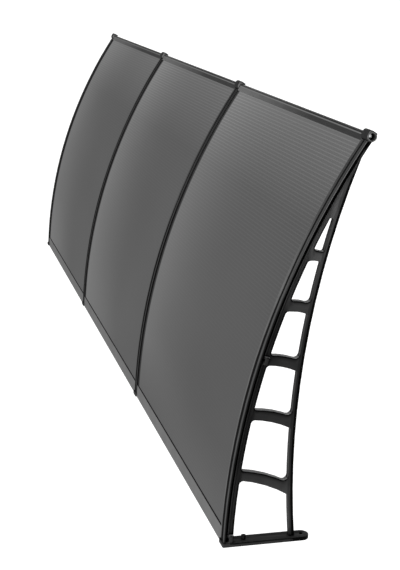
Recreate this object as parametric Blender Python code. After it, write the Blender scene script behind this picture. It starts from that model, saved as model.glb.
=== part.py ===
# Door canopy of three bays: four moulded brackets carry curved twin-wall sheets
# between a wall rail and a front rail. X runs along the wall, the wall is the
# plane Y = 0, the roof reaches out towards -Y, and +Z is up. Metres.
import math

import bmesh
import bpy
from mathutils import Matrix, Vector

# Driving dimensions
BAYS = 3
BAY_PITCH = 0.998
FIT = 0.0003

SHEET_RADIUS = 1.787
ARC_BEHIND_WALL = 0.045
SHEET_THICKNESS = 0.0047
SHEET_START = 0.0106
SHEET_END_TO_SCREW = 0.007

SCREW_AXIS_OUT = 0.936
BRACKET_WIDTH = 0.036
BODY_THICKNESS = 0.016
BODY_EDGE = 0.0028
RIB_WIDTH = 0.010
LEDGE_WIDTH = 0.026
LEDGE_THICKNESS = 0.0025
LEDGE_FILLET = 0.003
BEAM_HEIGHT = 0.0215
BEAM_TIP_HEIGHT = 0.0132

STRUT_RADIUS = 1.968
STRUT_WIDTH = 0.013
STRUT_LANDING_DOWN = 0.1665
STRUT_MEETS_TIP_OUT = 0.8895
RUNG_OUT_AT_BEAM = (0.677, 0.564, 0.441, 0.3145, 0.170)
RUNG_OUT_AT_STRUT = (0.673, 0.556, 0.425, 0.291, 0.129)
RUNG_WIDTH_AT_BEAM = 0.025
RUNG_WIDTH_AT_STRUT = 0.0235
RUNG_WIDTH_GROWTH = 0.002
RUNG_BOW = 0.05
TIP_OPENING_HEIGHT = 0.008
CORNER_TIGHT = 0.004
CORNER_MIDDLE = 0.008
CORNER_WIDE = 0.010

FOOT_THICKNESS = 0.010
FOOT_LENGTH = 0.211
FOOT_ABOVE_STRIP = 0.003
FOOT_TOP_CORNER = 0.004
FOOT_EDGE = 0.0012
HIDDEN_IN_FOOT = 0.0005
FOOT_HOLE_RADIUS = 0.0035
STANDOFF_DOWN = 0.0538
STANDOFF_RADIUS = 0.0056
STANDOFF_HEIGHT = 0.0095
STANDOFF_HOLE_RADIUS = 0.0032

CUP_RADIUS = 0.013
CUP_LOWER_RADIUS = 0.0108
HOOD_REACH = 0.0118
HOOD_CORNER = 0.0068
HOOD_LIP_DOWN = 0.0065
CUP_RIM = 0.0012
CUP_RECESS_RADIUS = 0.0085
CUP_RECESS_DEPTH = 0.016

STRIP_THICKNESS = 0.0027
STRIP_GROOVE_WIDTH = 0.0084
STRIP_GROOVE_DEPTH = 0.0015
STRIP_EDGE_DROP = 0.0009
STRIP_GROOVE_DROP = 0.0005

RAIL_WALL = 0.0016
FRONT_TUBE_RADIUS = 0.0063
FRONT_FLANGE_REACH = 0.0164
FRONT_LOWER_REACH = 0.0145
WALL_RAIL_REACH = 0.037
WALL_RAIL_LOWER_REACH = 0.022

STUD_OUTS = (0.0195, 0.446)
STUD_RADIUS = 0.0025
STUD_INTO_STRIP = 0.0009
STUD_BELOW_NUT = 0.0015
NUT_ACROSS_FLATS = 0.008
NUT_HEIGHT = 0.0038
NUT_CEILING = 0.0009
POCKET_BELOW_NUT = 0.003
MOUTH_FLARE = 0.0005
LUG_LENGTH = 0.018
LUG_HEIGHT = 0.019
LUG_INSET = 0.001

END_SCREW_RADIUS = 0.0024
END_SCREW_HEAD_RADIUS = 0.0045
END_SCREW_HEAD_HEIGHT = 0.003
END_SCREW_LENGTH = 0.034

ARC_STEPS = 20
STRUT_STEPS = 14
ROUND_STEPS = 20
CORNER_STEPS = 3
CROWDED = 1.6
RUNG_STEPS = 4
EDGE_STEPS = 1
CREST_SHARE = 0.6
RIDGE_SHARES = (0.3, 0.65)
GROOVE_FLOOR_SHARE = 0.55
LIP_TURN = math.radians(25)
LIP_BLUNT = math.radians(8)
MARGIN = 0.002
SCREW_STEPS = 12

# Values that follow from them
SLOT_HEIGHT = SHEET_THICKNESS + FIT
HALF_SLOT = SHEET_THICKNESS / 2 + FIT
HALF_BRACKET = BRACKET_WIDTH / 2
SHEET_MID_RADIUS = SHEET_RADIUS - SHEET_THICKNESS / 2
ARC_CENTRE_Z = SHEET_THICKNESS / 2 - math.sqrt(SHEET_RADIUS**2 - ARC_BEHIND_WALL**2)
SCREW_ANGLE = math.asin((SCREW_AXIS_OUT + ARC_BEHIND_WALL) / SHEET_MID_RADIUS)
RAIL_LENGTH = BAY_PITCH - BRACKET_WIDTH - 2 * FIT
SHEET_LENGTH = BAY_PITCH - RIB_WIDTH - 4 * FIT
STRIP_TOP = FIT + STRIP_THICKNESS
FOOT_TOP = SHEET_THICKNESS / 2 + STRIP_TOP + FOOT_ABOVE_STRIP
STUD_HOLE_RADIUS = STUD_RADIUS + FIT
NUT_TOP = -NUT_CEILING - FIT
NUT_BOTTOM = NUT_TOP - NUT_HEIGHT
POCKET_FLOOR = NUT_BOTTOM - POCKET_BELOW_NUT


def clear_scene():
    for item in list(bpy.data.objects):
        bpy.data.objects.remove(item, do_unlink=True)


def plain_material(name, colour, roughness, metallic=0.0):
    material = bpy.data.materials.new(name)
    material.use_nodes = True
    shader = material.node_tree.nodes["Principled BSDF"]
    shader.inputs["Base Color"].default_value = (*colour, 1.0)
    shader.inputs["Roughness"].default_value = roughness
    shader.inputs["Metallic"].default_value = metallic
    return material


def roof_angle(out, radius=SHEET_RADIUS):
    return math.asin((out + ARC_BEHIND_WALL) / radius)


def roof_point(angle, radius):
    """(y, z) on the roof's arc, with the angle measured from straight up."""
    return (
        ARC_BEHIND_WALL - radius * math.sin(angle),
        ARC_CENTRE_Z + radius * math.cos(angle),
    )


def roof_frame(angle, radius, x=0.0):
    """Local axes on the roof's arc: x along the wall, y towards the wall, z outwards."""
    y, z = roof_point(angle, radius)
    return Matrix.Translation((x, y, z)) @ Matrix.Rotation(angle, 4, "X")


def strut_centre():
    """The centre of the strut's arc, which lands on the foot and meets the tip."""
    tip = SHEET_RADIUS - BEAM_TIP_HEIGHT
    meeting = Vector(roof_point(roof_angle(STRUT_MEETS_TIP_OUT, tip), tip))
    landing = Vector((-FOOT_THICKNESS, -STRUT_LANDING_DOWN))
    half = (landing - meeting) / 2
    below = Vector((half.y, -half.x)).normalized()
    return meeting + half + below * math.sqrt(STRUT_RADIUS**2 - half.length_squared)


def strut_point(out, radius):
    centre = strut_centre()
    return (-out, centre.y + math.sqrt(radius**2 - (out + centre.x) ** 2))


def tip_opening_end():
    """How far out the last opening reaches, where beam and strut close in on it."""
    beam = SHEET_RADIUS - BEAM_HEIGHT
    low, high = RUNG_OUT_AT_BEAM[0], STRUT_MEETS_TIP_OUT
    for _ in range(40):
        out = (low + high) / 2
        ceiling = roof_point(roof_angle(out, beam), beam)[1]
        if ceiling - strut_point(out, STRUT_RADIUS + STRUT_WIDTH)[1] > TIP_OPENING_HEIGHT:
            low = out
        else:
            high = out
    return low


def steps(start, end, count):
    return [start + (end - start) * i / count for i in range(count + 1)]


def circle(centre, radius, count, start=0.0, sweep=2 * math.pi):
    last = count if sweep >= 2 * math.pi else count + 1
    return [
        (
            centre[0] + radius * math.cos(start + sweep * i / count),
            centre[1] + radius * math.sin(start + sweep * i / count),
        )
        for i in range(last)
    ]


def bowed(a, b, bow, count):
    """Points from a to b on an arc that bulges towards -y by bow times its length."""
    a, b = Vector(a), Vector(b)
    across = Vector((-(b - a).y, (b - a).x))
    if across.x > 0:
        across = -across
    return [
        tuple(a.lerp(b, t) + across * bow * 4 * t * (1 - t)) for t in steps(0, 1, count)
    ]


def fillet(before, corner, after, radius, count):
    """The arc that rounds one corner of an outline."""
    corner, back, on = Vector(corner), Vector(before), Vector(after)
    back, on = (back - corner).normalized(), (on - corner).normalized()
    half = back.angle(on) / 2
    reach = radius / math.tan(half)
    centre = corner + (back + on).normalized() * radius / math.sin(half)
    first = corner + back * reach - centre
    turn = first.angle_signed(corner + on * reach - centre)
    return [
        tuple(centre + Matrix.Rotation(-turn * t, 2) @ first) for t in steps(0, 1, count)
    ]


def rounded(points, corners):
    """An outline with each numbered corner rounded, less the points too near to it."""
    points = [Vector(point) for point in points]
    crowded = set()
    for i, radius in corners.items():
        for step in (-1, 1):
            j = (i + step) % len(points)
            while j not in corners and (points[j] - points[i]).length < CROWDED * radius:
                crowded.add(j)
                j = (j + step) % len(points)
    kept = [i for i in range(len(points)) if i not in crowded]
    outline = []
    for place, i in enumerate(kept):
        if i in corners:
            before = points[kept[place - 1]]
            after = points[kept[(place + 1) % len(kept)]]
            outline += fillet(before, points[i], after, corners[i], CORNER_STEPS)
        else:
            outline.append(tuple(points[i]))
    return outline


def add_object(name, mesh, material, matrix=None):
    item = bpy.data.objects.new(name, mesh)
    bpy.context.scene.collection.objects.link(item)
    if matrix is not None:
        item.matrix_world = matrix
    if material is not None:
        mesh.materials.clear()
        mesh.materials.append(material)
    return item


def mesh_from(bm, name):
    bmesh.ops.recalc_face_normals(bm, faces=bm.faces)
    mesh = bpy.data.meshes.new(name)
    bm.to_mesh(mesh)
    bm.free()
    return mesh


def swept(name, section, frames):
    """A closed body: the section's (x, height) points carried along the frames."""
    bm = bmesh.new()
    rings = [[bm.verts.new(f @ Vector((x, 0, h))) for x, h in section] for f in frames]
    for one, two in zip(rings, rings[1:]):
        for i in range(len(section)):
            j = (i + 1) % len(section)
            bm.faces.new((one[i], one[j], two[j], two[i]))
    bm.faces.new(rings[0])
    bm.faces.new(rings[-1])
    return mesh_from(bm, name)


def extruded(name, outline, x_from, x_to):
    """A closed body: a (y, z) outline carried along x."""
    bm = bmesh.new()
    ends = [[bm.verts.new((x, y, z)) for y, z in outline] for x in (x_from, x_to)]
    for i in range(len(outline)):
        j = (i + 1) % len(outline)
        bm.faces.new((ends[0][i], ends[0][j], ends[1][j], ends[1][i]))
    bm.faces.new(ends[0])
    bm.faces.new(ends[1])
    return mesh_from(bm, name)


def turned(name, profile, count):
    """A closed body: (radius, height) points spun about local z."""
    bm = bmesh.new()
    rings = []
    for radius, height in profile:
        if radius == 0:
            rings.append([bm.verts.new((0, 0, height))])
        else:
            ring = circle((0, 0), radius, count)
            rings.append([bm.verts.new((x, y, height)) for x, y in ring])
    for one, two in zip(rings, rings[1:]):
        for i in range(count):
            j = (i + 1) % count
            corners = [one[i % len(one)], one[j % len(one)]]
            corners += [two[j % len(two)], two[i % len(two)]]
            bm.faces.new(list(dict.fromkeys(corners)))
    return mesh_from(bm, name)


def wound(outline, direction):
    """The outline run anticlockwise (direction 1) or clockwise (-1)."""
    area = sum(
        a[0] * b[1] - b[0] * a[1] for a, b in zip(outline, outline[1:] + outline[:1])
    )
    return outline if area * direction > 0 else outline[::-1]


def plate(name, outside, holes, thickness, edge, placing):
    """A flat plate with holes and chamfered edges, from 2D outlines."""
    curve = bpy.data.curves.new(name, "CURVE")
    curve.dimensions = "2D"
    curve.fill_mode = "BOTH"
    curve.extrude = thickness / 2 - edge
    curve.bevel_depth = edge
    curve.bevel_resolution = EDGE_STEPS
    curve.offset = -edge
    for outline in [wound(outside, 1)] + [wound(hole, -1) for hole in holes]:
        spline = curve.splines.new("POLY")
        spline.points.add(len(outline) - 1)
        spline.use_cyclic_u = True
        for point, (u, v) in zip(spline.points, outline):
            point.co = (u, v, 0, 1)
    holder = bpy.data.objects.new(name, curve)
    mesh = bpy.data.meshes.new_from_object(holder)
    bpy.data.objects.remove(holder)
    mesh.transform(placing)
    bm = bmesh.new()
    bm.from_mesh(mesh)
    bmesh.ops.remove_doubles(bm, verts=bm.verts, dist=1e-6)
    bpy.data.meshes.remove(mesh)
    return mesh_from(bm, name)


def combined(name, base, added=(), cut=()):
    """One mesh: the base with the added bodies joined on, less the cut ones."""
    helpers = []
    item = bpy.data.objects.new(name, base)
    bpy.context.scene.collection.objects.link(item)
    for operation, bodies in (("UNION", added), ("DIFFERENCE", cut)):
        for body in bodies:
            helper = bpy.data.objects.new(body.name, body)
            helper.hide_render = True
            helper.display_type = "WIRE"
            bpy.context.scene.collection.objects.link(helper)
            modifier = item.modifiers.new(body.name, "BOOLEAN")
            modifier.operation = operation
            modifier.solver = "MANIFOLD"
            modifier.object = helper
            helpers.append(helper)
    bpy.context.view_layer.update()
    graph = bpy.context.evaluated_depsgraph_get()
    bm = bmesh.new()
    bm.from_mesh(item.evaluated_get(graph).to_mesh())
    for helper in helpers + [item]:
        bpy.data.objects.remove(helper, do_unlink=True)
    bmesh.ops.remove_doubles(bm, verts=bm.verts, dist=1e-6)
    bmesh.ops.triangulate(bm, faces=bm.faces)
    return mesh_from(bm, name)


def round_shading(item, angle=35):
    item.data.shade_smooth()
    item.data.set_sharp_from_angle(angle=math.radians(angle))


def rung_line(out_at_beam, out_at_strut):
    """The two ends of a rung's edge, on the beam and on the strut."""
    angle = roof_angle(out_at_beam, SHEET_RADIUS - BEAM_HEIGHT)
    on_beam = roof_point(angle, SHEET_RADIUS - BEAM_HEIGHT)
    return on_beam, strut_point(out_at_strut, STRUT_RADIUS + STRUT_WIDTH)


def opening_outline(wall_edge, tip_edge):
    """One ladder opening, from the rung on its wall side to the one on its tip side."""
    points = bowed(*wall_edge, RUNG_BOW, RUNG_STEPS)
    low, high = -points[-1][0], -tip_edge[1][0]
    for out in steps(low, high, 3)[1:-1]:
        points.append(strut_point(out, STRUT_RADIUS + STRUT_WIDTH))
    far = bowed(*tip_edge, RUNG_BOW, RUNG_STEPS)[::-1]
    points += far
    for out in steps(-far[-1][0], -wall_edge[0][0], 3)[1:-1]:
        angle = roof_angle(out, SHEET_RADIUS - BEAM_HEIGHT)
        points.append(roof_point(angle, SHEET_RADIUS - BEAM_HEIGHT))
    radii = (CORNER_TIGHT, CORNER_WIDE, CORNER_TIGHT, CORNER_MIDDLE)
    return rounded(points, dict(zip((0, 4, 7, 11), radii)))


def tip_opening_outline(wall_edge):
    """The last opening, which closes to a point where the beam meets the strut."""
    beam_radius = SHEET_RADIUS - BEAM_HEIGHT
    points = list(wall_edge)
    end = tip_opening_end()
    for out in steps(-wall_edge[1][0], end, 2)[1:]:
        points.append(strut_point(out, STRUT_RADIUS + STRUT_WIDTH))
    for out in steps(end, -wall_edge[0][0], 2)[:-1]:
        points.append(roof_point(roof_angle(out, beam_radius), beam_radius))
    end_round = TIP_OPENING_HEIGHT * 0.45
    radii = {0: CORNER_TIGHT, 1: CORNER_TIGHT, 3: end_round, 4: end_round}
    return rounded(points, radii)


def body_outlines():
    """The bracket's side view: its outside, then the six ladder openings."""
    top = SHEET_RADIUS - SLOT_HEIGHT - LEDGE_THICKNESS / 2
    tip = SHEET_RADIUS - BEAM_TIP_HEIGHT
    inside_foot = HIDDEN_IN_FOOT
    meeting = STRUT_MEETS_TIP_OUT
    outside = []
    for angle in steps(roof_angle(inside_foot), SCREW_ANGLE, ARC_STEPS):
        outside.append(roof_point(angle, top))
    for angle in steps(SCREW_ANGLE, roof_angle(meeting, tip), 2):
        outside.append(roof_point(angle, tip))
    for out in steps(meeting, inside_foot, STRUT_STEPS)[1:]:
        outside.append(strut_point(out, STRUT_RADIUS))

    beam, strut = RUNG_OUT_AT_BEAM, RUNG_OUT_AT_STRUT
    wall_edges, tip_edges = [], []
    for i in range(len(beam)):
        half_beam = RUNG_WIDTH_AT_BEAM / 2
        half_strut = (RUNG_WIDTH_AT_STRUT + RUNG_WIDTH_GROWTH * i) / 2
        wall_edges.append(rung_line(beam[i] + half_beam, strut[i] + half_strut))
        tip_edges.append(rung_line(beam[i] - half_beam, strut[i] - half_strut))
    openings = [tip_opening_outline(wall_edges[0])]
    for wall_edge, tip_edge in zip(wall_edges[1:], tip_edges[:-1]):
        openings.append(opening_outline(wall_edge, tip_edge))
    openings.append(wall_opening_outline(tip_edges[-1]))
    return outside, openings


def wall_opening_outline(tip_edge):
    """The opening next to the wall, bounded by the foot plate's front face."""
    beam_radius = SHEET_RADIUS - BEAM_HEIGHT
    foot = FOOT_THICKNESS - HIDDEN_IN_FOOT
    points = [roof_point(roof_angle(foot, beam_radius), beam_radius)]
    low = -tip_edge[1][0]
    for out in steps(foot, low, 3)[:-1]:
        points.append(strut_point(out, STRUT_RADIUS + STRUT_WIDTH))
    points += bowed(*tip_edge, RUNG_BOW, RUNG_STEPS)[::-1]
    for out in steps(-tip_edge[0][0], foot, 3)[1:-1]:
        points.append(roof_point(roof_angle(out, beam_radius), beam_radius))
    return rounded(points, {4: CORNER_TIGHT, 8: CORNER_MIDDLE})


def bracket_body():
    outside, openings = body_outlines()
    side_view = Matrix(((0, 0, 1, 0), (1, 0, 0, 0), (0, 1, 0, 0), (0, 0, 0, 1)))
    return plate("body", outside, openings, BODY_THICKNESS, BODY_EDGE, side_view)


def bracket_ledge():
    """The ledge that the sheets rest on, with the rib that parts them."""
    rib, ledge, body = RIB_WIDTH / 2, LEDGE_WIDTH / 2, BODY_THICKNESS / 2 - BODY_EDGE
    under = -SLOT_HEIGHT - LEDGE_THICKNESS
    section = [(-rib, 0), (rib, 0), (rib, -SLOT_HEIGHT), (ledge, -SLOT_HEIGHT)]
    section += [(ledge, under), (body, under - LEDGE_FILLET)]
    section += [(-body, under - LEDGE_FILLET), (-ledge, under)]
    section += [(-ledge, -SLOT_HEIGHT), (-rib, -SLOT_HEIGHT)]
    angles = steps(roof_angle(FOOT_THICKNESS / 2), SCREW_ANGLE, ARC_STEPS)
    return swept("ledge", section, [roof_frame(a, SHEET_RADIUS) for a in angles])


def bracket_foot():
    """The wall plate, round at its lower end, where its hole is, and blunt at its top."""
    low = FOOT_TOP - FOOT_LENGTH + HALF_BRACKET
    corner = FOOT_TOP_CORNER
    high, side = FOOT_TOP - corner, HALF_BRACKET - corner
    outline = circle((0, low), HALF_BRACKET, SCREW_STEPS, math.pi, math.pi)
    outline += circle((side, high), corner, CORNER_STEPS, 0, math.pi / 2)
    outline += circle((-side, high), corner, CORNER_STEPS, math.pi / 2, math.pi / 2)
    hole = circle((0, low), FOOT_HOLE_RADIUS + FOOT_EDGE / 2, SCREW_STEPS)
    front_view = Matrix(
        ((1, 0, 0, 0), (0, 0, -1, -FOOT_THICKNESS / 2), (0, 1, 0, 0), (0, 0, 0, 1))
    )
    return plate("foot", outline, [hole], FOOT_THICKNESS, FOOT_EDGE, front_view)


def along_y(mesh, out, z):
    """Lays a turned body on its side, its local z pointing out from the wall."""
    mesh.transform(Matrix.Translation((0, -out, z)) @ Matrix.Rotation(math.pi / 2, 4, "X"))
    return mesh


def drum(name, radius, low, high, count):
    return turned(name, [(0, low), (radius, low), (radius, high), (0, high)], count)


def standoff_parts():
    z = FOOT_TOP - STANDOFF_DOWN
    base = FOOT_THICKNESS - FOOT_EDGE
    top = FOOT_THICKNESS + STANDOFF_HEIGHT
    tube = along_y(drum("standoff", STANDOFF_RADIUS, base, top, SCREW_STEPS), 0, z)
    hole = drum("standoff_hole", STANDOFF_HOLE_RADIUS, -MARGIN, top + MARGIN, SCREW_STEPS)
    return tube, along_y(hole, 0, z)


def along_x(mesh, side=1):
    """Puts a turned body on the screw axis at the tip, its local z along +x or -x."""
    y, z = roof_point(SCREW_ANGLE, SHEET_MID_RADIUS)
    turn = Matrix.Rotation(side * math.pi / 2, 4, "Y")
    mesh.transform(Matrix.Translation((0, y, z)) @ turn)
    return mesh


def cup_outline():
    """Round the screw: (outwards along the roof, up from it), with the hood's square front."""
    corner, reach = HOOD_CORNER, HOOD_REACH
    outline = [(reach, -HOOD_LIP_DOWN)]
    middle = (reach - corner, CUP_RADIUS - corner)
    outline += circle(middle, corner, CORNER_STEPS, 0, math.pi / 2)
    quarter = ROUND_STEPS // 4
    outline += circle((0, 0), CUP_RADIUS, quarter, math.pi / 2 + LIP_TURN, math.pi / 2)
    start = math.pi + LIP_TURN * 2
    sweep = 2 * math.pi - LIP_TURN - LIP_BLUNT - start
    return outline + circle((0, 0), CUP_LOWER_RADIUS, ROUND_STEPS // 2, start, sweep)


def cup():
    """The cup at the bracket's tip, its axis along x, which the rails' screws go through."""
    y, z = roof_point(SCREW_ANGLE, SHEET_MID_RADIUS)
    tilt = Matrix.Translation((0, y, z)) @ Matrix.Rotation(SCREW_ANGLE, 4, "X")
    side_view = Matrix(((0, 0, -1, 0), (-1, 0, 0, 0), (0, 1, 0, 0), (0, 0, 0, 1)))
    return plate("cup", cup_outline(), [], BRACKET_WIDTH, CUP_RIM, tilt @ side_view)


def cup_recess(side):
    """The recess for the end screw's head and the hole for its shank."""
    floor, mouth = HALF_BRACKET - CUP_RECESS_DEPTH, HALF_BRACKET + MARGIN
    recess = drum("recess", CUP_RECESS_RADIUS, floor, mouth, ROUND_STEPS)
    hole_radius = END_SCREW_RADIUS + FIT
    hole = drum("screw_hole", hole_radius, -mouth, floor + MARGIN, SCREW_STEPS)
    return [along_x(recess, side), along_x(hole, side)]


def roof_box(name, out, x_range, along, heights):
    """A box set square to the roof's arc, heights measured from the sheet's top."""
    outline = [(-along / 2, heights[0]), (along / 2, heights[0])]
    outline += [(along / 2, heights[1]), (-along / 2, heights[1])]
    mesh = extruded(name, outline, *x_range)
    mesh.transform(roof_frame(roof_angle(out), SHEET_RADIUS))
    return mesh


def stud_hole(out, low, high):
    hole = drum("stud_hole", STUD_HOLE_RADIUS, low, high, SCREW_STEPS)
    hole.transform(roof_frame(roof_angle(out), SHEET_RADIUS))
    return hole


def stud_cuts(out):
    """The stud's hole and the pocket that holds its nut, open on the -x side."""
    hole = stud_hole(out, POCKET_FLOOR, MARGIN)
    wide = NUT_ACROSS_FLATS + 2 * FIT
    x_range = (-HALF_BRACKET - MARGIN, nut_corner() + FIT)
    return [hole, roof_box("pocket", out, x_range, wide, (POCKET_FLOOR, -NUT_CEILING))]


def nut_corner():
    return NUT_ACROSS_FLATS / 2 / math.cos(math.pi / 6)


def outer_lug(out, side):
    """The lug that closes an end bracket's empty slot round a stud."""
    near = BODY_THICKNESS / 2 - BODY_EDGE - LUG_INSET
    far = HALF_BRACKET - LUG_INSET
    x_range = (near, far) if side > 0 else (-far, -near)
    return roof_box("lug", out, x_range, LUG_LENGTH, (-LUG_HEIGHT, 0))


def lug_mouth(out, side):
    """The flared mouth of the nut pocket in an outer lug."""
    near, far = BODY_THICKNESS / 2, HALF_BRACKET + MARGIN
    x_range = (near, far) if side > 0 else (-far, -near)
    wide = NUT_ACROSS_FLATS + 2 * FIT + 2 * MOUTH_FLARE
    heights = (POCKET_FLOOR - MOUTH_FLARE, MOUTH_FLARE - NUT_CEILING)
    return roof_box("mouth", out, x_range, wide, heights)


def mirrored_in_x(meshes):
    for mesh in meshes:
        mesh.transform(Matrix.Scale(-1, 4, (1, 0, 0)))
        mesh.flip_normals()
    return meshes


def bracket_mesh(side):
    """side is -1 or 1 for the end brackets, whose outer side has lugs, and 0 between."""
    tube, tube_hole = standoff_parts()
    added = [bracket_ledge(), bracket_foot(), cup(), tube]
    cut = [tube_hole]
    if side:
        cut += cup_recess(side)
    for out in STUD_OUTS:
        pocket = stud_cuts(out)
        cut += mirrored_in_x(pocket) if side > 0 else pocket
        if side:
            added.append(outer_lug(out, side))
            cut.append(lug_mouth(out, side))
    return combined("bracket", bracket_body(), added, cut)


def strip_section():
    """Two crowned ridges with a groove between them: (across, up from the sheet)."""
    half, groove = HALF_BRACKET, STRIP_GROOVE_WIDTH / 2
    low, inner = STRIP_TOP - STRIP_EDGE_DROP, STRIP_TOP - STRIP_GROOVE_DROP
    crest = half - (half - groove) * CREST_SHARE
    floor = STRIP_TOP - STRIP_GROOVE_DEPTH
    ridge = [(half, low)]
    ridge += [(half - (half - crest) * s, low + (STRIP_TOP - low) * s * (2 - s)) for s in RIDGE_SHARES]
    ridge += [(crest, STRIP_TOP)]
    ridge += [(crest - (crest - groove) * s, STRIP_TOP - (STRIP_TOP - inner) * s * s) for s in RIDGE_SHARES]
    ridge += [(groove, inner), (groove * GROOVE_FLOOR_SHARE, floor)]
    return [(-half, FIT), (half, FIT)] + ridge + [(-x, z) for x, z in ridge[::-1]]


def strip_mesh():
    """The cover strip, with blind holes for its studs."""
    start = roof_angle(FOOT_THICKNESS + FIT)
    end = SCREW_ANGLE - (CUP_RADIUS + FIT) / SHEET_RADIUS
    frames = [roof_frame(a, SHEET_RADIUS) for a in steps(start, end, ARC_STEPS)]
    body = swept("strip", strip_section(), frames)
    top = STUD_INTO_STRIP + FIT
    return combined("strip", body, cut=[stud_hole(out, -MARGIN, top) for out in STUD_OUTS])


def sheet_mesh():
    """A curved roof sheet, its front corners notched round the brackets' cups."""
    start = roof_angle(SHEET_START)
    end = SCREW_ANGLE - SHEET_END_TO_SCREW / SHEET_RADIUS
    half, low = SHEET_LENGTH / 2, -SHEET_THICKNESS
    section = [(-half, low), (half, low), (half, 0), (-half, 0)]
    frames = [roof_frame(a, SHEET_RADIUS) for a in steps(start, end, ARC_STEPS)]
    notch_depth = CUP_RADIUS + 2 * FIT - SHEET_END_TO_SCREW
    notch_reach = HALF_BRACKET + FIT
    cuts = []
    for side in (-1, 1):
        corner = side * BAY_PITCH / 2
        outline = [(-notch_depth, -MARGIN), (notch_depth, -MARGIN)]
        outline += [(notch_depth, SHEET_THICKNESS + MARGIN)]
        outline += [(-notch_depth, SHEET_THICKNESS + MARGIN)]
        notch = extruded("notch", outline, corner - notch_reach, corner + notch_reach)
        notch.transform(roof_frame(end, SHEET_RADIUS - SHEET_THICKNESS))
        cuts.append(notch)
    return combined("sheet", swept("sheet", section, frames), cut=cuts)


def front_rail_mesh():
    """The front rail: a screw tube with two flanges that grip the sheet's edge."""
    inner, outer = HALF_SLOT, HALF_SLOT + RAIL_WALL
    tube = FRONT_TUBE_RADIUS
    lip = math.asin(outer / tube)
    throat = math.asin(inner / tube)
    outline = circle((0, 0), tube, 14, lip, 2 * math.pi - 2 * lip)
    outline = [(-u, v) for u, v in outline]
    outline += [(-FRONT_LOWER_REACH, -outer), (-FRONT_LOWER_REACH, -inner)]
    outline += [(-tube * math.cos(t), tube * math.sin(t)) for t in (-throat, 0, throat)]
    outline += [(-FRONT_FLANGE_REACH, inner), (-FRONT_FLANGE_REACH, outer)]
    placed = [(-u, v) for u, v in outline]
    mesh = extruded("front_rail", placed, -RAIL_LENGTH / 2, RAIL_LENGTH / 2)
    bore_radius = END_SCREW_RADIUS + FIT
    bore = drum("bore", bore_radius, -RAIL_LENGTH, RAIL_LENGTH, SCREW_STEPS)
    bore.transform(Matrix.Rotation(math.pi / 2, 4, "Y"))
    return combined("front_rail", mesh, cut=[bore])


def wall_rail_mesh():
    """The wall rail: a channel round the sheet's edge, its back against the wall."""
    top, wall = FIT, RAIL_WALL

    def along(outs, height):
        radius = SHEET_RADIUS + height
        return [roof_point(roof_angle(out, radius), radius) for out in outs]

    middle = WALL_RAIL_REACH / 2
    outline = along((0, middle, WALL_RAIL_REACH), top + wall)
    outline += along((WALL_RAIL_REACH, middle, wall), top)
    outline += along((wall, WALL_RAIL_LOWER_REACH), -SLOT_HEIGHT)
    outline += along((WALL_RAIL_LOWER_REACH, 0), -SLOT_HEIGHT - wall)
    return extruded("wall_rail", outline, -RAIL_LENGTH / 2, RAIL_LENGTH / 2)


def strip_stud_mesh():
    end = NUT_BOTTOM - STUD_BELOW_NUT
    return drum("strip_stud", STUD_RADIUS, end, STUD_INTO_STRIP, SCREW_STEPS)


def strip_nut_mesh():
    """A hexagon nut with a flat each way along y, and its hole."""
    nut = drum("nut", nut_corner(), NUT_BOTTOM, NUT_TOP, 6)
    hole = drum(
        "nut_hole", STUD_HOLE_RADIUS, NUT_BOTTOM - MARGIN, NUT_TOP + MARGIN, SCREW_STEPS
    )
    return combined("strip_nut", nut, cut=[hole])


def end_screw_mesh():
    head = END_SCREW_HEAD_RADIUS
    top = END_SCREW_HEAD_HEIGHT
    profile = [(0, -END_SCREW_LENGTH), (END_SCREW_RADIUS, -END_SCREW_LENGTH)]
    profile += [(END_SCREW_RADIUS, 0), (head, 0), (head, top * 0.45)]
    profile += [(head * 0.8, top * 0.85), (head * 0.35, top), (head * 0.25, top * 0.5)]
    profile += [(0, top * 0.5)]
    return turned("end_screw", profile, SCREW_STEPS)


def bracket_x(index):
    return (index - BAYS / 2) * BAY_PITCH


def build_brackets(material):
    between = bracket_mesh(0)
    for index in range(BAYS + 1):
        side = {0: -1, BAYS: 1}.get(index, 0)
        mesh = bracket_mesh(side) if side else between
        place = Matrix.Translation((bracket_x(index), 0, 0))
        item = add_object(f"bracket_{index + 1}", mesh, material, place)
        round_shading(item, 25)


def build_strips(material):
    mesh = strip_mesh()
    for index in range(BAYS + 1):
        place = Matrix.Translation((bracket_x(index), 0, 0))
        add_object(f"cover_strip_{index + 1}", mesh, material, place)


def build_bays(sheet_material, front_material, wall_material):
    sheet, front, wall = sheet_mesh(), front_rail_mesh(), wall_rail_mesh()
    for index in range(BAYS):
        x = (bracket_x(index) + bracket_x(index + 1)) / 2
        place = Matrix.Translation((x, 0, 0))
        add_object(f"sheet_{index + 1}", sheet, sheet_material, place)
        rail_place = roof_frame(SCREW_ANGLE, SHEET_MID_RADIUS, x)
        item = add_object(f"front_rail_{index + 1}", front, front_material, rail_place)
        round_shading(item)
        add_object(f"wall_rail_{index + 1}", wall, wall_material, place)


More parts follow.
